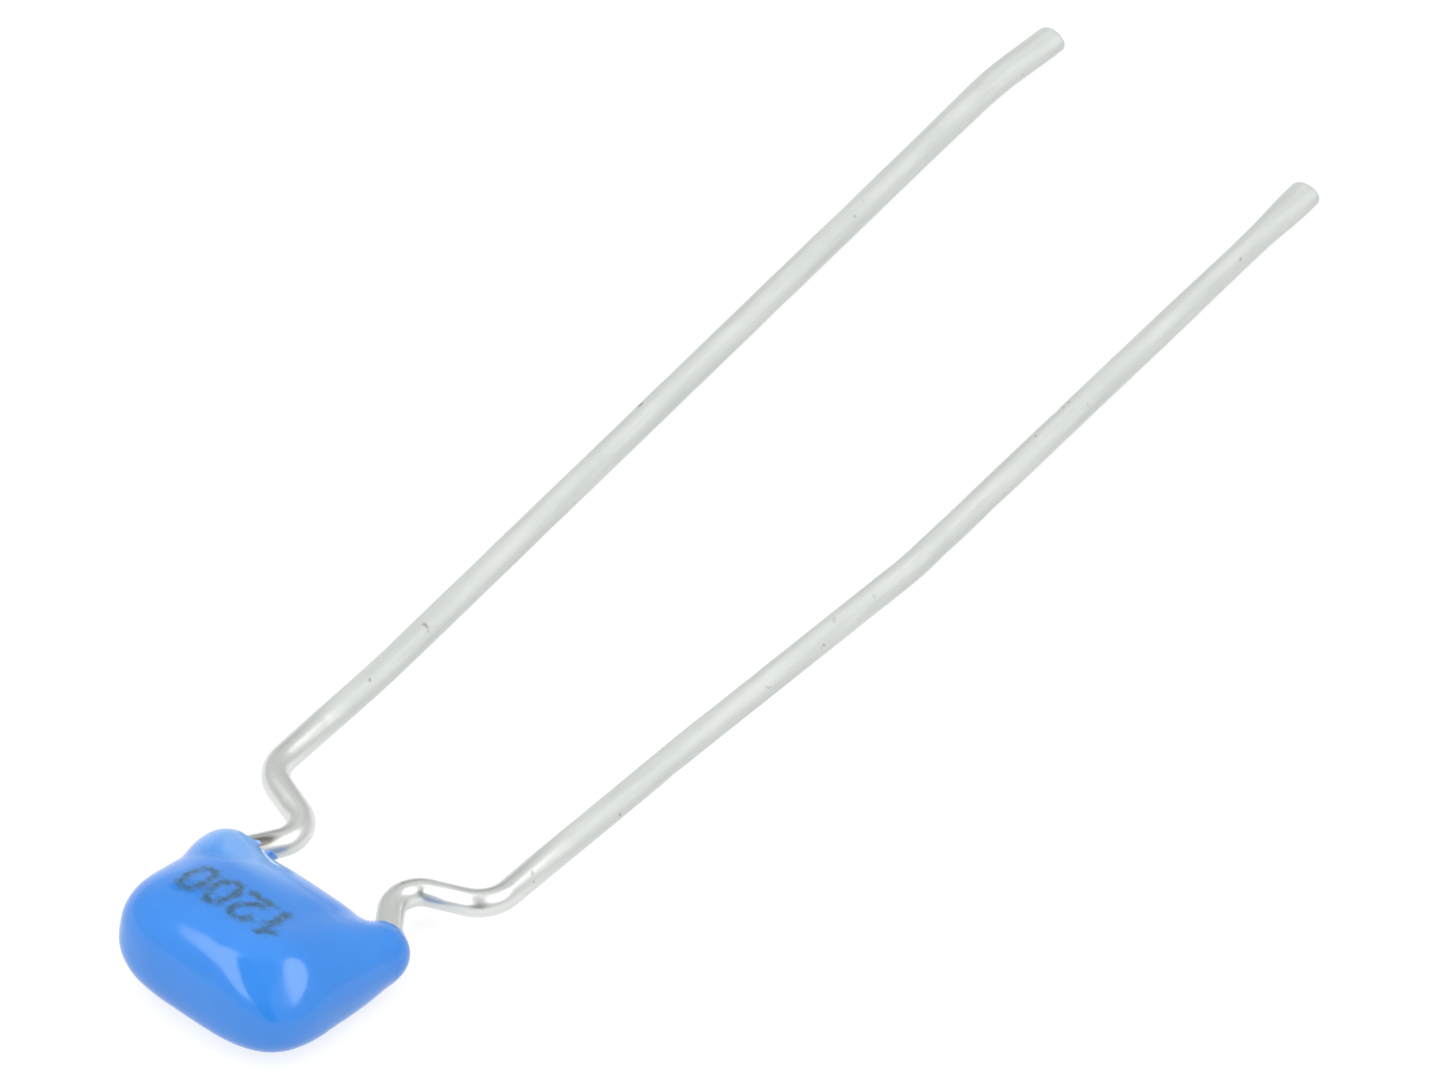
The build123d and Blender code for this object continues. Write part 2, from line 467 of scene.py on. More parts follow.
# Where each collar ends along the wire: its middle value, how much further it reaches on the side
# that faces the other wire, and the height of its ragged waves
collar_ends = {-1: (0.34, 0.24, 0.045), 1: (0.33, 0.03, 0.02)}
# Over what length and from what height each collar thins out
collar_flares = {-1: (0.34, 0.11), 1: (0.24, 0.09)}
collar_melt = 0.22
# How far round from the inner side the resin reaches furthest, in radians
longest_reach = 0.35


def wire_place(points, hand):
    """Distance along a wire's slanted run, the way out from its axis, and its inner side."""
    heading = np.array([-hand * math.sin(wire_lean), math.cos(wire_lean), 0])
    away = points - np.array([hand * wire_across, entry_along, 0])
    along = away @ heading
    outward = away - np.maximum(along, 0)[:, None] * heading
    inner_side = np.array([-hand * math.cos(wire_lean), -math.sin(wire_lean), 0])
    return along, outward, inner_side


def ragged_end(outward, inner_side, hand):
    """How far the resin reaches along the wire, with waves of 5, 9 and 14 to a turn."""
    middle, extra, wave = collar_ends[hand]
    turn = np.arctan2(outward[:, 2], outward @ inner_side)
    waves = np.sin(5 * turn + 0.7) + 0.7 * np.sin(9 * turn + 2.9 * hand) + 0.4 * np.sin(14 * turn)
    # Deep inside the wire the end is flat, so that the hidden squares there stay even
    ragged = smooth_step(0, 0.8 * wire_radius, np.linalg.norm(outward, axis=1))
    return middle + (extra * np.cos(turn + longest_reach) + wave * waves) * ragged


def collar_distance(points, hand):
    """A sleeve of resin round the wire that thins out and ends raggedly."""
    along, outward, inner_side = wire_place(points, hand)
    reach = ragged_end(outward, inner_side, hand)
    length, height = collar_flares[hand]
    flare = height * bell(np.maximum(along, 0), 0, length)
    radial = np.linalg.norm(outward, axis=1)
    return np.maximum(radial - (wire_radius + flare), along - reach)


for hand, (length, height) in collar_flares.items():
    side = "left" if hand < 0 else "right"
    print(side, "collar starts", round(wire_radius + height, 2), "mm from the wire's axis")

# %% [markdown]
# Now all of it is melted into one bead, each joint with its own roundness. At the right of the
# dipped end the resin ran off the top before it set, so the bead is lower and flatter there. A flat
# cut takes that corner off. Melting the outsides instead of the insides rounds the ridge it leaves.

# %% The whole bead
sag_way, sag_depth, sag_melt = np.array([0.6369, -0.3621, 1.0]), 1.9583, 0.2531
sag_way = sag_way / np.linalg.norm(sag_way)


def bead_field(points):
    """Distance from the whole bead's skin: below zero inside it, above zero outside."""
    skin = pillow_distance(points)
    skin = -melted(-skin, sag_depth - points @ sag_way, sag_melt)
    skin = melted(skin, drop_distance(points), drop_melt)
    skin = melted(skin, np.linalg.norm(points - left_shoulder, axis=1) - left_radius, left_melt)
    for hand in (1, -1):
        skin = melted(skin, collar_distance(points, hand), collar_melt)
    return skin


print("field at the bead's middle:", round(float(bead_field(bead_centre[None])[0]), 3), "mm")

# %% [markdown]
# A field is not yet a mesh. A rough pillow, balls and cones of about the right size are laid over
# each other as clay, and a voxel remesh turns the heap into one closed skin of small even squares.

# %% Rough bead and its remesh
voxel = 0.032
collar_clay, collar_clay_lift = {"radius1": 0.42, "radius2": 0.26, "depth": 0.6}, 0.15


def rough_bead():
    """A heap of a pillow, three balls and two cones, near enough to the field to start from."""
    clay = bmesh.new()
    bmesh.ops.create_icosphere(clay, subdivisions=5, radius=1)
    ball = np.array([v.co for v in clay.verts])
    outline = np.abs(ball[:, 0]) ** outline_power + np.abs(ball[:, 1]) ** outline_power
    level = outline ** (rim_power / outline_power) + np.abs(ball[:, 2]) ** rim_power
    ball = ball / level[:, None] ** (1 / rim_power)
    ball[:, 2] *= 1 - bead_taper * ball[:, 1]
    for vertex, place in zip(clay.verts, ball * bead_half @ askew + bead_centre):
        vertex.co = place
    lumps = [(left_shoulder, left_radius), (drop_start, drop_radii[0]), (drop_end, drop_radii[1])]
    for centre, radius in lumps:
        place = Matrix.Translation(Vector(centre))
        bmesh.ops.create_icosphere(clay, subdivisions=4, radius=radius, matrix=place)
    for hand in (1, -1):
        lean = Matrix.Rotation(hand * wire_lean, 4, "Z") @ Matrix.Rotation(-math.pi / 2, 4, "X")
        place = Matrix.Translation((hand * wire_across, entry_along, 0)) @ lean
        place = place @ Matrix.Translation((0, 0, collar_clay_lift))
        bmesh.ops.create_cone(clay, cap_ends=True, segments=48, matrix=place, **collar_clay)
    mesh = bpy.data.meshes.new("rough_bead")
    clay.to_mesh(mesh)
    clay.free()
    return mesh


def remeshed(mesh, name):
    """One closed skin of even squares over everything in the mesh."""
    lump = bpy.data.objects.new("lump", mesh)
    bpy.context.scene.collection.objects.link(lump)
    remesh = lump.modifiers.new("remesh", "REMESH")
    remesh.mode, remesh.voxel_size = "VOXEL", voxel
    worked_out = lump.evaluated_get(bpy.context.evaluated_depsgraph_get())
    done = bpy.data.meshes.new_from_object(worked_out)
    bpy.data.objects.remove(lump)
    done.name = name
    return done


bead = remeshed(rough_bead(), "dipped_coat")
print("remeshed bead:", len(bead.vertices), "points")

# %% [markdown]
# Printed digits need a finer mesh than smooth resin does, so the squares under them are cut into
# nine. Then every point of the bead slides along the field's slope until it lies on the skin. A
# little relaxing between slides keeps the squares even, which leaves no ripple in the gloss.

# %% Finer squares under the print, then slide onto the field
print_box = ((-1.50, 1.02), (-1.46, -0.38))
facing_up = 0.3  # least height of a normal on the top of the bead
# How much of its own place a point keeps in a relaxing step, how much it takes from the points
# next to it, and the longest slide in one step
kept_share, relaxed_share, longest_slide = 0.4, 0.6, 0.1


def finer_under_print(mesh):
    """Cuts the top's squares within the print's box into nine each, and counts them."""
    skin = bmesh.new()
    skin.from_mesh(mesh)
    (left, right), (front, rear) = print_box
    patch = [
        face
        for face in skin.faces
        if face.normal.z > facing_up
        and left < face.calc_center_median().x < right
        and front < face.calc_center_median().y < rear
    ]
    edges = list({edge for face in patch for edge in face.edges})
    bmesh.ops.subdivide_edges(skin, edges=edges, cuts=2, use_grid_fill=True)
    skin.to_mesh(mesh)
    skin.free()
    return len(patch)


def slid_onto(mesh, field, rounds=5):
    """Relaxes the points a little and slides them back onto the field, several times."""
    edges = np.zeros(len(mesh.edges) * 2, np.int64)
    mesh.edges.foreach_get("vertices", edges)
    edges = edges.reshape(-1, 2)
    points = np.zeros(len(mesh.vertices) * 3)
    mesh.vertices.foreach_get("co", points)
    points = points.reshape(-1, 3)
    degree = np.bincount(edges.ravel(), minlength=len(points))[:, None]
    for _ in range(rounds):
        total = np.zeros_like(points)
        np.add.at(total, edges[:, 0], points[edges[:, 1]])
        np.add.at(total, edges[:, 1], points[edges[:, 0]])
        points = kept_share * points + relaxed_share * total / degree
        for _ in range(3):
            steep = slope(field, points)
            steep /= np.maximum(np.linalg.norm(steep, axis=1), 1e-6)[:, None]
            slide = np.clip(field(points), -longest_slide, longest_slide)
            points = points - slide[:, None] * steep
    mesh.vertices.foreach_set("co", points.ravel())
    mesh.update()
    return mesh


print("squares cut finer under the print:", finer_under_print(bead))
slid_onto(bead, bead_field)
print("bead slid onto its field:", len(bead.vertices), "points")

# %% [markdown]
# A dipped coat is never quite even. Slow undulations, less than a hundredth of a millimetre high,
# bend the edges of every reflection. They are pushed in along the normals with seeded noise.

# %% Undulations of the dipped coat
# Each grain is a height in millimetres, or an amount, and a number of lumps in a millimetre
slow_swell, quick_swell = (0.006, 0.9), (0.004, 2.6)
other_grain = Vector((3.1, 0, 7.7))


def grain_at(places, grain, offset=Vector((0, 0, 0))):
    """Noise of that height and lump size at each place. The offset picks another pattern."""
    height, lumps = grain
    return height * np.array([noise.noise(Vector(p) * lumps + offset) for p in places])


normals = np.zeros(len(bead.vertices) * 3)
bead.vertices.foreach_get("normal", normals)
normals = normals.reshape(-1, 3)
even_places = np.array([v.co for v in bead.vertices])
swell = grain_at(even_places, slow_swell, other_grain) + grain_at(even_places, quick_swell)
bead.vertices.foreach_set("co", (even_places + normals * swell[:, None]).ravel())
bead.shade_smooth()
print("undulations from", round(swell.min(), 4), "to", round(swell.max(), 4), "mm")

# %% [markdown]
# Such a bead gets a few characters stamped on with a soft pad, and the ink wets the glossy resin
# badly: strokes swell, break and smear. Here they are plain digits. Each is a few strokes in a box
# one unit wide and high, with its foot at 0. They could be cut out as thin shapes, but real ink has
# next to no thickness, so the strokes only say where the ink lies.

# %% Strokes of the digits
digit_size, digit_pitch = (0.42, 0.74), 0.56
first_digit = (0.78, -0.52)  # outer corner of the first digit's foot
far_off = 9.0  # further than any stroke


def arc(middle, half, start, end, count=16):
    """Points on an oval from one angle to another, in degrees."""
    turns = np.radians(np.linspace(start, end, count))
    return [(middle[0] + half[0] * math.cos(t), middle[1] + half[1] * math.sin(t)) for t in turns]


digit_strokes = {
    "0": [arc((0.5, 0.5), (0.46, 0.5), 0, 360, 28)],
    "1": [[(0.22, 0.78), (0.55, 1.0), (0.55, 0.0)]],
    "2": [arc((0.48, 0.72), (0.44, 0.28), 165, -35) + [(0.04, 0.0), (1.0, 0.0)]],
}


def stroke_distance(places, text):
    """Distance in the drawing plane from each point to the nearest stroke of the text."""
    nearest = np.full(len(places), far_off)
    for number, digit in enumerate(text):
        # The print is read from the wires' side, so it runs towards -X with its feet at +Y
        foot = np.array([first_digit[0] - number * digit_pitch, first_digit[1]])
        for stroke in digit_strokes[digit]:
            line = foot - np.array(stroke) * digit_size
            for start, end in zip(line, line[1:]):
                way = end - start
                share = np.clip((places - start) @ way / (way @ way), 0, 1)
                aside = np.linalg.norm(places - start - share[:, None] * way, axis=1)
                nearest = np.minimum(nearest, aside)
    return nearest


print("digits", digit_size[0], "by", digit_size[1], "mm,", digit_pitch, "mm apart")

# %% [markdown]
# Every point of the fine patch gets an amount of ink from its distance to the nearest stroke. Noise
# moves the strokes' edges in and out, more noise leaves gaps where the resin threw the ink off, and
# a fainter smear lies round them. The amounts are kept on the mesh as an attribute for the finish.
# A second attribute is a painted reflection: it says where the blue is painted paler, towards the
# wires and over the left.

# %% Ink on the bead
printed = "1200"
stroke_half, stroke_edge = 0.073, 0.048
edge_grains, gap_grains = ((0.030, 5.0), (0.022, 13.0)), ((0.9, 9.0), (0.5, 27.0))
# The smear: its strength, and from where to where beside a stroke it fades
smear_share, smear_fade = 0.64, (0.06, 0.21)
least_ink = 0.55  # what a gap keeps of a stroke's ink
# How well the resin has to hold the ink, from none of it to all of it, for strokes and for smear
stroke_hold, smear_hold = (0.15, 0.55), (0.35, 0.8)
# Where the painted reflection lies: towards the wires, and from the right to the left
painted_reflection_along, painted_reflection_across = (-0.25, 0.35), (-0.9, 0.6)

(left, right), (front, rear) = print_box
x, y = even_places[:, 0], even_places[:, 1]
within = (x > left) & (x < right) & (y > front) & (y < rear)
under = np.where(within & (normals[:, 2] > facing_up))[0]
patch = even_places[under]
wander = grain_at(patch, edge_grains[0]) + grain_at(patch, edge_grains[1])
hold = 0.5 + grain_at(patch, gap_grains[0], other_grain) + grain_at(patch, gap_grains[1])
aside = stroke_distance(patch[:, :2], printed) + wander
solid = 1 - smooth_step(stroke_half - stroke_edge, stroke_half + stroke_edge, aside)
smear = smear_share * (1 - smooth_step(*smear_fade, aside)) * smooth_step(*smear_hold, hold)
ink = np.zeros(len(even_places))
solid = solid * (least_ink + (1 - least_ink) * smooth_step(*stroke_hold, hold))
ink[under] = np.maximum(solid, smear)
keep_on(bead, "ink", ink)
# Painted reflection: a paler blue towards the wires and the left
keep_on(bead, "painted_reflection", smooth_step(*painted_reflection_along, y) * (1 - smooth_step(*painted_reflection_across, x)))
print("points with ink:", int((ink > 0.2).sum()), "of", len(under), "under the print")

# %% [markdown]
# The bead now goes to its resting place with the wires. Its box is compared with the solid coat's,
# which is a simpler form: small differences are the collars' edges and the softer corners.

# %% Put the bead in place
coat = new_piece("dipped_coat", at_rest(bead), "epoxy_coat", "coating")
compare(coat, "coating")

# %% [markdown]
# Beyond the collar the resin thins out to a torn film a hundredth of a millimetre thick, with
# tongues that run a little further up the wire. A torn edge could be cut into a mesh, but that
# leaves ugly slivers. Here the film is a closed sleeve round the wire that dives under the tin's
# skin where it ends, so its ragged edge is simply where the two surfaces cross.

# %% Torn film on each wire
film_thickness, film_sinks, tear_width = 0.012, 0.03, 0.03
film_span, film_rings, film_points = (0.12, 1.0), 84, 128
# As for the collars: middle reach, how much further on the inner side, and height of the tongues
film_reach = {"left": (0.48, 0.32, 0.080), "right": (0.38, 0.04, 0.025)}


def film_sleeve(side):
    """A thin sleeve round the wire, from inside the collar to past the film's end."""
    hand = hands[side]
    points, headings, steps = routes[side]
    from_entry = np.linalg.norm(points - np.array([hand * wire_across, entry_along, 0]), axis=1)
    along = np.linspace(*film_span, film_rings)
    places = steps[np.argmin(from_entry)] + along
    centres = np.stack([np.interp(places, steps, points[:, axis]) for axis in range(3)], 1)
    ways = np.stack([np.interp(places, steps, headings[:, axis]) for axis in range(3)], 1)
    turns = np.linspace(0, 2 * math.pi, film_points, endpoint=False)
    # 0 on the side that faces the other wire
    around = turns - (math.pi if hand < 0 else 0)
    middle, extra, wave = film_reach[side]
    tongues = (
        np.sin(4 * around + 1.0) + 0.8 * np.sin(7 * around + 2.2 * hand)
        + 0.35 * np.sin(11 * around + 0.4) + 0.12 * np.sin(19 * around + 1.7)
    )
    edge = middle + extra * np.cos(around + longest_reach * hand) + wave * tongues
    torn = smooth_step(-tear_width, tear_width, along[:, None] - edge[None, :])
    reach = wire_radius + film_thickness - (film_thickness + film_sinks) * torn
    rings = rings_round(centres, ways, turns, reach, reach)
    return ring_mesh("resin_film_" + side, rings, along)


films = {}
for side in routes:
    mesh = at_rest(film_sleeve(side))
    films[side] = new_piece("resin_film_" + side, mesh, "epoxy_coat")
    print("resin_film_" + side, len(mesh.polygons), "faces")

# %% [markdown]
# All finishes are built from shader nodes, so a few small helpers come first. One opens a new
# material with its main shader. Another turns a screen colour, 0 to 255 as in any colour picker,
# into the linear values that shaders reckon with.

# %% New finishes and their colours
def new_finish(name):
    """An empty material, its nodes and links, and its main shader."""
    material = bpy.data.materials.new(name)
    material.use_nodes = True
    nodes, links = material.node_tree.nodes, material.node_tree.links
    return material, nodes, links, nodes["Principled BSDF"]


def linear(red, green, blue):
    """A screen colour as a shader's red, green, blue and opacity."""
    return tuple(((c / 255 + 0.055) / 1.055) ** 2.4 for c in (red, green, blue)) + (1,)


print("mid grey as a shader sees it:", [round(v, 3) for v in linear(128, 128, 128)])

# %% [markdown]
# No real surface has one even colour or gloss. Two sources give a finish its variation: a noise,
# and the numbers that a mesh keeps on its points. Each of these helpers adds a node and gives back
# its outcome, so that a finish can be read from top to bottom.

# %% Noise and kept numbers
def grain_over(nodes, links, place, scale, detail):
    """A noise over a place: scale counts lumps in one unit of it, detail adds finer ones."""
    grain = nodes.new("ShaderNodeTexNoise")
    grain.inputs["Scale"].default_value = scale
    grain.inputs["Detail"].default_value = detail
    links.new(place, grain.inputs["Vector"])
    return grain.outputs["Fac"]


def grain_of(nodes, links, scale, detail):
    """A noise over the piece's own coordinates, in metres."""
    place = nodes.new("ShaderNodeTexCoord")
    return grain_over(nodes, links, place.outputs["Object"], scale, detail)


def kept_value(nodes, name):
    """The number that a mesh keeps on its points under that name."""
    attribute = nodes.new("ShaderNodeAttribute")
    attribute.attribute_name = name
    return attribute.outputs["Fac"]


print("a grain of scale 1000 has lumps", round(1 / 1000 / millimetre, 1), "mm across")

# %% [markdown]
# A value is then turned into something to see: a colour from a ramp, a mix of two colours, a
# roughness within its own limits, or a relief that only bends the light. Real height, such as the
# dents, is in the meshes, and the relief is kept for what is finer than their squares.

# %% From values to looks
def shades(nodes, links, value, *stops):
    """A ramp that turns a value into colours: each stop is a position and a screen colour."""
    ramp = nodes.new("ShaderNodeValToRGB")
    while len(ramp.color_ramp.elements) < len(stops):
        ramp.color_ramp.elements.new(0.5)
    for element, (position, colour) in zip(ramp.color_ramp.elements, stops):
        element.position, element.color = position, linear(*colour)
    links.new(value, ramp.inputs["Fac"])
    return ramp.outputs["Color"]


def spread_value(nodes, links, value, low, high, start, end):
    """Maps low..high of a value evenly onto start..end, and holds it outside."""
    spread = nodes.new("ShaderNodeMapRange")
    limits = {"From Min": low, "From Max": high, "To Min": start, "To Max": end}
    for socket, number in limits.items():
        spread.inputs[socket].default_value = number
    links.new(value, spread.inputs["Value"])
    return spread.outputs["Result"]


def mixed(nodes, links, share, first, second):
    """Two colours mixed by a share. The second is a socket or a screen colour."""
    mix = nodes.new("ShaderNodeMix")
    mix.data_type = "RGBA"
    links.new(share, mix.inputs["Factor"])
    links.new(first, mix.inputs["A"])
    if isinstance(second, tuple):
        mix.inputs["B"].default_value = linear(*second)
    else:
        links.new(second, mix.inputs["B"])
    return mix.outputs["Result"]


def relief(nodes, links, shader, value, strength, depth):
    """A bump of that depth in metres from a value."""
    bump = nodes.new("ShaderNodeBump")
    bump.inputs["Strength"].default_value = strength
    bump.inputs["Distance"].default_value = depth
    links.new(value, bump.inputs["Height"])
    links.new(bump.outputs["Normal"], shader.inputs["Normal"])


print("four ways to show a value: shades, spread_value, mixed and relief")

# %% [markdown]
# The coat is pigmented epoxy: a saturated blue that lets a little light in, so thin edges glow
# slightly. Its gloss is high but not that of glass, because the resin shrinks into a very fine
# orange peel as it cures. Towards the wires and the left the blue is mixed with a paler one, a
# painted reflection. The ink turns it to slate and takes some gloss away.

# %% Blue epoxy with its print
epoxy, nodes, links, shader = new_finish("blue_epoxy")
shader.inputs["Subsurface Weight"].default_value = 0.2
shader.inputs["Subsurface Radius"].default_value = (0.3, 0.6, 1.0)
shader.inputs["Subsurface Scale"].default_value = 0.0002
cloud = grain_of(nodes, links, 700, 3)
thick_blue = shades(nodes, links, cloud, (0.3, (41, 116, 197)), (0.7, (48, 122, 203)))
# Painted reflection: a paler blue is mixed in towards the wires and the left
painted_reflection_share = spread_value(nodes, links, kept_value(nodes, "painted_reflection"), 0, 1, 0, 0.75)
resin = mixed(nodes, links, painted_reflection_share, thick_blue, (112, 158, 212))
speckle, inked = grain_of(nodes, links, 9000, 4), kept_value(nodes, "ink")
slate = shades(nodes, links, speckle, (0.35, (28, 66, 84)), (0.65, (46, 88, 106)))
cover = spread_value(nodes, links, inked, 0, 1, 0, 0.88)
links.new(mixed(nodes, links, cover, resin, slate), shader.inputs["Base Color"])
links.new(spread_value(nodes, links, inked, 0, 1, 0.15, 0.38), shader.inputs["Roughness"])
relief(nodes, links, shader, grain_of(nodes, links, 6000, 2), 0.15, 0.00001)
coat.data.materials.append(epoxy)
print("coat finish:", len(nodes), "nodes")

# %% [markdown]
# Where the resin is only a film, the tin shines through and the blue turns pale and patchy. The
# film is too thin to need real transparency: a mottled mix of pale blue and deeper blue reads the
# same and stays sound in any program that opens the part.

# %% Torn film
film_finish, nodes, links, shader = new_finish("thin_epoxy_film")
mottle = grain_of(nodes, links, 9000, 4)
blues = (0.32, (152, 182, 216)), (0.5, (108, 156, 220)), (0.68, (72, 132, 208))
links.new(shades(nodes, links, mottle, *blues), shader.inputs["Base Color"])
links.new(spread_value(nodes, links, mottle, 0.3, 0.7, 0.34, 0.16), shader.inputs["Roughness"])
relief(nodes, links, shader, mottle, 0.4, 0.000006)
for piece in films.values():
    piece.data.materials.append(film_finish)
print("film finish on", len(films), "pieces")

# %% [markdown]
# The wires are copper with a skin of tin. The straight runs have gone through rollers and tape, so
# they are nearly matt, with faint streaks along them. The tight bends were stretched over polished
# pins and are glossier, and their lighter colour is a painted sheen. The V of the wire's map is the
# distance along it, so the colour and the gloss can change with it. Next to the bead the tin is
# darkened by a painted dark reflection, and a few specks go over both.

# %% Satin tin
satin_tin, nodes, links, shader = new_finish("satin_tin")
shader.inputs["Metallic"].default_value = 1.0
lay = nodes.new("ShaderNodeUVMap")
lay.uv_map = "lay"
# Nine streaks round the wire, and each a few millimetres long
stretch = nodes.new("ShaderNodeMapping")
stretch.inputs["Scale"].default_value = (9, 0.4, 1)
links.new(lay.outputs["UV"], stretch.inputs["Vector"])
streak = grain_over(nodes, links, stretch.outputs["Vector"], 1, 6)
drawn = shades(nodes, links, streak, (0.3, (199, 203, 200)), (0.7, (211, 214, 211)))
# Painted sheen: the bends get a lighter tin than the straight runs, besides their real higher gloss
sheen_painted_tin = shades(nodes, links, streak, (0.3, (203, 206, 203)), (0.7, (219, 221, 219)))
map_parts = nodes.new("ShaderNodeSeparateXYZ")
links.new(lay.outputs["UV"], map_parts.inputs["Vector"])
along_wire = map_parts.outputs["Y"]
past_bends = spread_value(nodes, links, along_wire, 5.2, 6.8, 0, 1)
tin = mixed(nodes, links, past_bends, sheen_painted_tin, drawn)
# Painted dark reflection: the tin is mixed towards a dark brown-grey next to the bead
dark_reflection_share = spread_value(nodes, links, kept_value(nodes, "dark_reflection"), 0.1, 0.6, 0, 0.95)
tin_with_dark_reflection = mixed(nodes, links, dark_reflection_share, tin, (104, 97, 89))
speck = spread_value(nodes, links, grain_of(nodes, links, 3600, 2), 0.71, 0.77, 0, 0.6)
specked = mixed(nodes, links, speck, tin_with_dark_reflection, (150, 138, 120))
links.new(specked, shader.inputs["Base Color"])
matt = spread_value(nodes, links, along_wire, 5.4, 7.0, 0.33, 0.75)
links.new(matt, shader.inputs["Roughness"])
relief(nodes, links, shader, streak, 0.3, 0.00001)
for piece in wires.values():
    piece.data.materials.append(satin_tin)
print("tin finish:", len(nodes), "nodes on", len(wires), "wires")

# %% [markdown]
# The pieces inside the bead are seen only when someone takes the part apart, or cuts it open on
# the screen. They still get the finish of the real ones: fired barium titanate is a dull warm brown
# with fine pits, the electrodes are thin nickel, the end caps are fired silver with a chalky skin,
# and solder freezes bright with frosted patches. One helper makes all four from a few numbers each.

# %% Finishes inside the bead
def mineral(name, scale, metallic, colours, gloss, strength, depth):
    """A finish that varies with one noise: two colours, a span of roughness and a relief."""
    finish, nodes, links, shader = new_finish(name)
    shader.inputs["Metallic"].default_value = metallic
    value = grain_of(nodes, links, scale, 6)
    two_tone = shades(nodes, links, value, (0.35, colours[0]), (0.65, colours[1]))
    links.new(two_tone, shader.inputs["Base Color"])
    links.new(spread_value(nodes, links, value, 0.3, 0.7, *gloss), shader.inputs["Roughness"])
    relief(nodes, links, shader, value, strength, depth)
    return finish


inside = {
    "dielectric": mineral(
        "fired_ceramic", 14000, 0.0, ((168, 138, 104), (190, 162, 128)), (0.70, 0.48), 0.5, 0.000008
    ),
    "electrode": mineral(
        "nickel_film", 20000, 1.0, ((150, 148, 142), (172, 170, 164)), (0.50, 0.34), 0.3, 0.000003
    ),
    "termination": mineral(
        "fired_silver", 11000, 1.0, ((196, 194, 188), (222, 220, 214)), (0.55, 0.36), 0.5, 0.000007
    ),
    "solder": mineral(
        "frosted_solder", 5000, 1.0, ((178, 180, 183), (208, 209, 211)), (0.42, 0.18), 0.4, 0.000006
    ),
}
for node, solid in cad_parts.items():
    kind = node.split("_")[0]
    if kind in inside:
        solid.data.materials.clear()
        solid.data.materials.append(inside[kind])
        print(node, "is", inside[kind].name)

# %% [markdown]
# Small parts are usually shown on a light table: a matt white sheet that glows a little, so that
# hardly any shadow shows. A sheet with some emission does the same here.

# %% Light table
table_half, table_grey, paper_roughness = 1.5, 0.26, 0.9


def flat_sheet(name, half_width, half_height, finish):
    """A sheet of the stage, flat in its own X and Y, with its middle at its own origin."""
    corners = [(-1, -1), (1, -1), (1, 1), (-1, 1)]
    mesh = bpy.data.meshes.new(name)
    places = [(half_width * x, half_height * y, 0) for x, y in corners]
    mesh.from_pydata(places, [], [(0, 1, 2, 3)])
    mesh.materials.append(finish)
    sheet = bpy.data.objects.new(name, mesh)
    bpy.context.scene.collection.objects.link(sheet)
    return sheet


pale, _, _, shader = new_finish("pale_table")
shader.inputs["Base Color"].default_value = (table_grey, table_grey, table_grey, 1)
shader.inputs["Roughness"].default_value = paper_roughness
shader.inputs["Emission Color"].default_value = (1, 1, 1, 1)
shader.inputs["Emission Strength"].default_value = 0.75
light_table = flat_sheet("light_table", table_half, table_half, pale)
light_table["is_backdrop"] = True
print("table", 2 * table_half, "m wide")

# %% [markdown]
# A white tent gives even light from all round, and two softboxes stand out of it. Each puts one
# clear highlight on the coat, along the two upper edges that meet in the near corner. A lamp's
# place is easiest to say from the part: how far round it stands, how high, and how wide it looks.

# %% Tent and softboxes
scene = bpy.context.scene
scene.view_settings.view_transform = "Standard"
tent = bpy.data.worlds.new("tent")
scene.world = tent
tent.use_nodes = True
cloth = tent.node_tree.nodes["Background"]
cloth.inputs["Color"].default_value = (1, 1, 1, 1)
cloth.inputs["Strength"].default_value = 0.8
bead_middle = Vector((0.0002, -0.0123, 0.0008))
lamp_distance = 0.5


def way_to(azimuth, elevation):
    """Direction from the part: azimuth 0 is on the side of -Y, 90 on the side of +X."""
    a, e = math.radians(azimuth), math.radians(elevation)
    return Vector((math.sin(a) * math.cos(e), -math.cos(a) * math.cos(e), math.sin(e)))


def looking_from(target, out, spin, distance):
    """The place of a lamp or camera that far from a target, facing it and spun by degrees."""
    right = Vector((-out.y, out.x, 0)).normalized()
    up, turn = out.cross(right), math.radians(spin)
    spun_right = right * math.cos(turn) + up * math.sin(turn)
    spun_up = up * math.cos(turn) - right * math.sin(turn)
    axes = Matrix((spun_right, spun_up, out)).transposed().to_4x4()
    return Matrix.Translation(target + out * distance) @ axes


def softbox(name, azimuth, elevation, spin, half_width, half_height, brightness):
    """An oval lamp that faces the part. Its half sizes are the angles they fill from the part."""
    lamp = bpy.data.lights.new(name, "AREA")
    lamp.shape = "ELLIPSE"
    lamp.size = 2 * lamp_distance * math.tan(math.radians(half_width))
    lamp.size_y = 2 * lamp_distance * math.tan(math.radians(half_height))
    lamp.energy = brightness * lamp.size * lamp.size_y
    box = bpy.data.objects.new(name, lamp)
    scene.collection.objects.link(box)
    box.matrix_world = looking_from(bead_middle, way_to(azimuth, elevation), spin, lamp_distance)
    print(name, round(lamp.size, 3), "by", round(lamp.size_y, 3), "m,", round(lamp.energy, 2), "W")


softbox(
    "left_softbox", azimuth=-7.59, elevation=63.14, spin=38.41,
    half_width=24.32, half_height=34.23, brightness=7.4,
)
softbox(
    "right_softbox", azimuth=105.0, elevation=55.0, spin=-47.58,
    half_width=13.5, half_height=27.0, brightness=9.2,
)

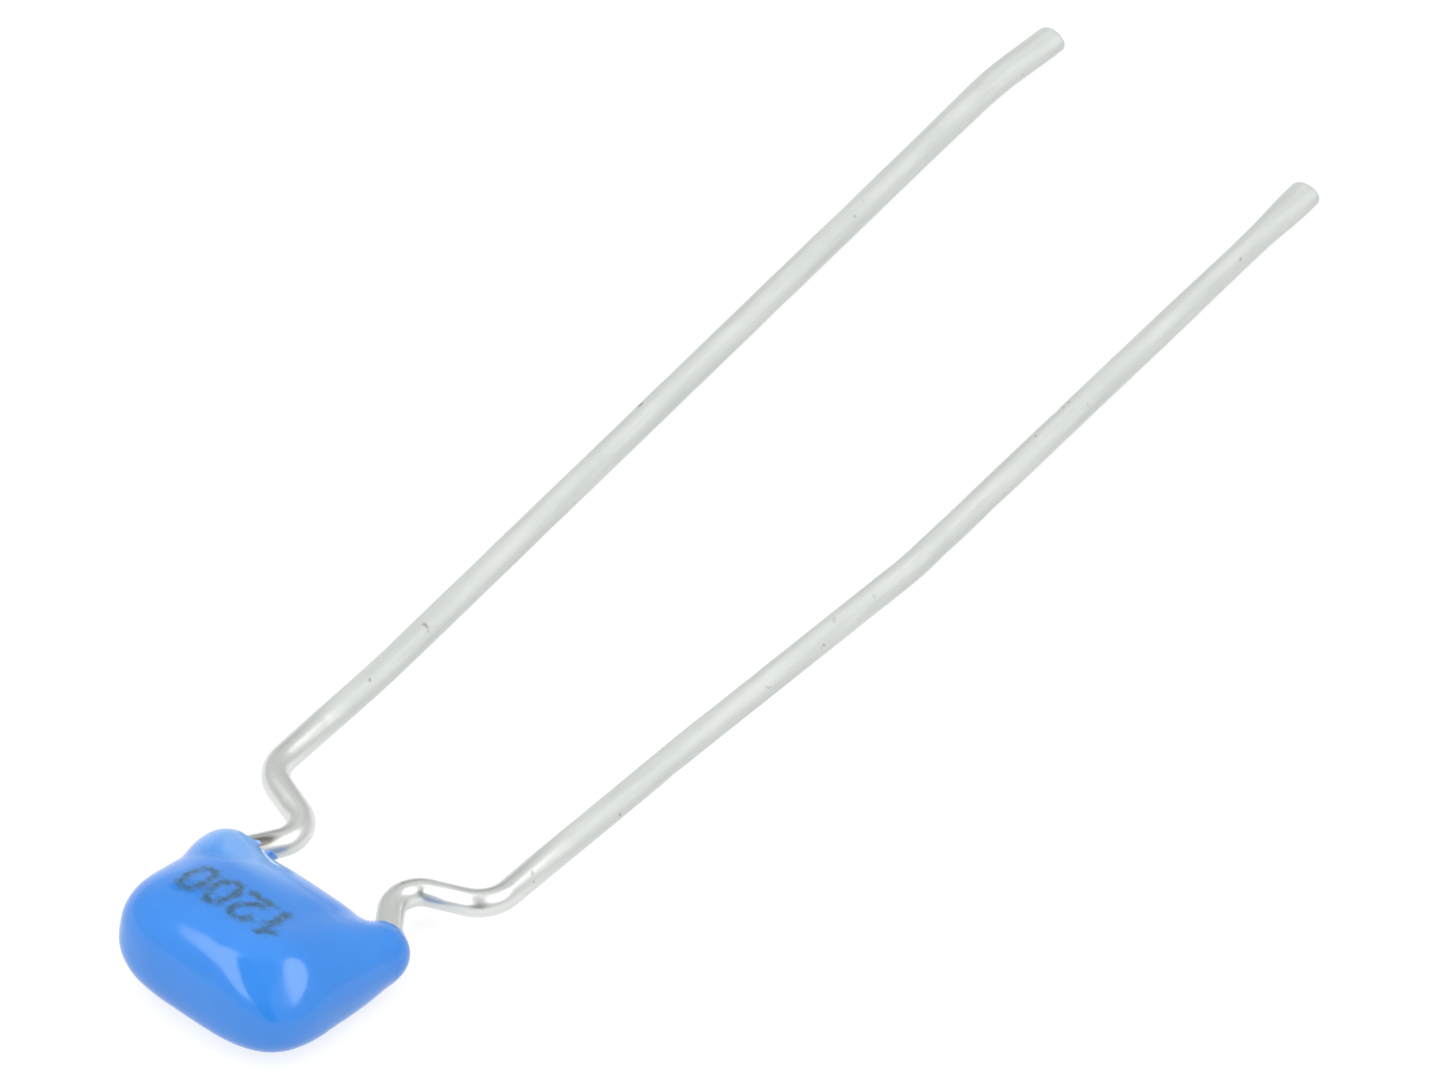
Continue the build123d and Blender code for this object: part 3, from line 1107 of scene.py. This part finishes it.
# %% [markdown]
# In an all-white tent bright metal would look flat. Black cards stand where the metal needs
# something dark to reflect: a tall one just behind the camera, for the bends, and a small one low
# at the back, for the wires where they leave the bead. The camera doesn't see them and they cast
# no shadow.

# %% Black cards
lens_azimuth, lens_elevation, lens_roll = 38.392, 46.063, 0.775
card_distance, card_black = 0.3, 0.02
black, _, _, shader = new_finish("black_paper")
shader.inputs["Base Color"].default_value = (card_black, card_black, card_black, 1)
shader.inputs["Roughness"].default_value = paper_roughness


def black_card(name, azimuth, elevation, half_width, half_height):
    """A card that faces the part and shows only in reflections."""
    card = flat_sheet(name, half_width, half_height, black)
    out = way_to(azimuth, elevation)
    card.location = bead_middle + out * card_distance
    card.rotation_euler = out.to_track_quat("Z", "Y").to_euler()
    card.visible_camera = False
    card.visible_shadow = False
    card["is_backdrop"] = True
    print(name, 2 * half_width, "by", 2 * half_height, "m")


black_card("lens_card", lens_azimuth + 3, lens_elevation, 0.065, 0.34)
black_card("rear_card", -137, 20, 0.035, 0.035)

# %% [markdown]
# A long lens from a little distance keeps the wires nearly parallel. The camera stands like the
# lamps do, some way out from the part, with its own right and up spun a little about its view.

# %% Camera
lens_distance, focal_length, sensor_width = 0.255939, 369.73, 36
aim = Vector((0.00020363, 0.00036598, 0.0004))
camera_data = bpy.data.cameras.new("camera")
camera_data.lens, camera_data.sensor_width = focal_length, sensor_width
camera_data.clip_start, camera_data.clip_end = 0.01, 10
camera = bpy.data.objects.new("camera", camera_data)
scene.collection.objects.link(camera)
toward_lens = way_to(lens_azimuth, lens_elevation)
camera.matrix_world = looking_from(aim, toward_lens, lens_roll, lens_distance)
scene.camera = camera
print("camera at", [round(v, 4) for v in camera.matrix_world.translation], "m")

# %% [markdown]
# The last step prints how far the finished part's box lies from the solid model's box from the
# start, so that anyone can see that the finish did not change the part's size.

# %% Sizes and finish
seen_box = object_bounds()
moved = (np.array(seen_box) - np.array(cad_box)) / millimetre
print("box moved by", *np.round(moved, 3).tolist(), "mm at its low and high corners")
